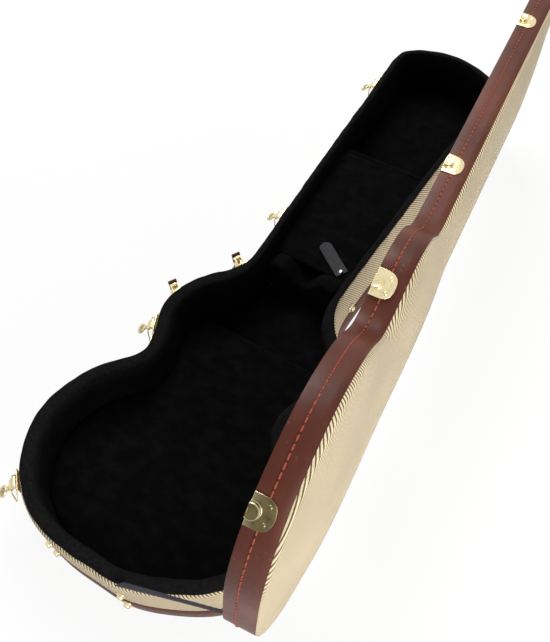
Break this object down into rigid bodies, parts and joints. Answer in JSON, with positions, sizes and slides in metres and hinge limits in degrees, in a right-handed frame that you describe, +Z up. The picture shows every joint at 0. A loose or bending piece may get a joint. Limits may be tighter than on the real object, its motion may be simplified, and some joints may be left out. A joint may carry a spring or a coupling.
{
  "type": "electric guitar case",
  "caption": "Hard-shell case for an electric guitar: body-shaped base, arched hinged lid, draw latches, carrying handle, plush lining, neck cradle and lidded accessory compartment.",
  "frame": {"origin": "on the ground, under the middle of the closed case's length and of its head-to-tail centre line", "axes": "+Z up, +Y from the tail to the head, -X the front side with the latches and the handle, +X the hinge side"},
  "size_m": [0.4896, 1.1008, 0.4978],
  "materials": {
    "tweed": "woven cream and gold tweed with diagonal brown stripes",
    "leatherette": "smooth brown leatherette with a slight sheen",
    "plywood": "bare plywood, hidden",
    "plush": "black short-pile plush over foam",
    "ribbon": "dark grey woven ribbon",
    "leather": "brown leather, rounded",
    "brass": "polished, slightly worn"
  },
  "bodies": {
    "base": {"base_bottom_cover": "tweed", "base_bottom_panel": "plywood", "base_side_frame": "plywood", "base_tweed_cover": "tweed", "base_trim_strip": "leatherette", "base_wall_padding": "plush", "body_floor_pad": "plush", "well_floor_pad": "plush", "neck_cradle": "plush", "compartment_floor_pad": "plush", "compartment_ledge_front": "plush", "compartment_ledge_hinge": "plush", "compartment_divider": "plush", "headstock_floor_pad": "plush", "hinge_body_base_leaf": "brass", "hinge_body_pin": "brass", "hinge_head_base_leaf": "brass", "hinge_head_pin": "brass", "handle_tail_bracket": "brass", "handle_head_bracket": "brass", "handle_tail_pin": "brass", "handle_head_pin": "brass", "tail_stud_1": "brass", "tail_stud_2": "brass", "tail_stud_3": "brass", "tail_stud_4": "brass", "side_stud_1": "brass", "side_stud_2": "brass", "latch_1_plate": "brass", "latch_2_plate": "brass", "latch_3_plate": "brass", "latch_4_plate": "brass", "stay_ribbon": "ribbon"},
    "lid": {"lid_leather_band": "leatherette", "lid_side_frame": "plywood", "lid_wall_padding": "plush", "lid_tweed_cover": "tweed", "lid_top_panel": "plywood", "lid_top_padding": "plush", "hinge_body_lid_leaf": "brass", "hinge_head_lid_leaf": "brass", "latch_1_keeper": "brass", "latch_2_keeper": "brass", "latch_3_keeper": "brass", "latch_4_keeper": "brass"},
    "lever_1": {"latch_1_lever": "brass"},
    "bail_1": {"latch_1_bail": "brass"},
    "lever_2": {"latch_2_lever": "brass"},
    "bail_2": {"latch_2_bail": "brass"},
    "lever_3": {"latch_3_lever": "brass"},
    "bail_3": {"latch_3_bail": "brass"},
    "lever_4": {"latch_4_lever": "brass"},
    "bail_4": {"latch_4_bail": "brass"},
    "handle": {"handle_grip": "leather", "handle_tail_ferrule": "brass", "handle_head_ferrule": "brass"},
    "compartment_cover": {"compartment_lid": "plush", "pull_tab": "ribbon", "pull_tab_rivet": "brass"}
  },
  "joints": [
    {"name": "lid_hinge", "type": "hinge", "parent": "base", "child": "lid", "pos_m": [0.20063, -0.38592, 0.1033], "axis": [-0.0993, 0.9951, 0], "range_deg": [-97.1, 0], "deforming": ["stay_ribbon"]},
    {"name": "lever_1_hinge", "type": "hinge", "parent": "base", "child": "lever_1", "pos_m": [-0.1573, -0.50178, 0.0913], "axis": [-0.7241, 0.6897, 0], "range_deg": [-50, 4]},
    {"name": "bail_1_hinge", "type": "hinge", "parent": "lever_1", "child": "bail_1", "pos_m": [-0.16192, -0.50663, 0.08372], "axis": [-0.7241, 0.6897, 0], "range_deg": [-18.5, 227]},
    {"name": "lever_2_hinge", "type": "hinge", "parent": "base", "child": "lever_2", "pos_m": [-0.14781, -0.21223, 0.0913], "axis": [-0.4118, 0.9113, 0], "range_deg": [-50, 4]},
    {"name": "bail_2_hinge", "type": "hinge", "parent": "lever_2", "child": "bail_2", "pos_m": [-0.15391, -0.21499, 0.08372], "axis": [-0.4118, 0.9113, 0], "range_deg": [-18.5, 227]},
    {"name": "lever_3_hinge", "type": "hinge", "parent": "base", "child": "lever_3", "pos_m": [-0.09113, 0.0606, 0.0913], "axis": [-0.0599, 0.9982, 0], "range_deg": [-50, 4]},
    {"name": "bail_3_hinge", "type": "hinge", "parent": "lever_3", "child": "bail_3", "pos_m": [-0.09782, 0.0602, 0.08372], "axis": [-0.0599, 0.9982, 0], "range_deg": [-18.5, 227]},
    {"name": "lever_4_hinge", "type": "hinge", "parent": "base", "child": "lever_4", "pos_m": [-0.10586, 0.40969, 0.0913], "axis": [-0.0459, 0.9989, 0], "range_deg": [-50, 4]},
    {"name": "bail_4_hinge", "type": "hinge", "parent": "lever_4", "child": "bail_4", "pos_m": [-0.11255, 0.40938, 0.08372], "axis": [-0.0459, 0.9989, 0], "range_deg": [-18.5, 227]},
    {"name": "handle_hinge", "type": "hinge", "parent": "base", "child": "handle", "pos_m": [-0.1345, -0.093, 0.0873], "axis": [0.5374, 0.8433, 0], "range_deg": [0, 100]},
    {"name": "compartment_hinge", "type": "hinge", "parent": "base", "child": "compartment_cover", "pos_m": [0, 0.2516, 0.0704], "axis": [-1, 0, 0], "range_deg": [0, 90]}
  ],
  "couplings": [
    {"joint": "bail_1_hinge", "follows": "lever_1_hinge", "ratio": -4.5332},
    {"joint": "bail_2_hinge", "follows": "lever_2_hinge", "ratio": -4.5332},
    {"joint": "bail_3_hinge", "follows": "lever_3_hinge", "ratio": -4.5332},
    {"joint": "bail_4_hinge", "follows": "lever_4_hinge", "ratio": -4.5332}
  ]
}
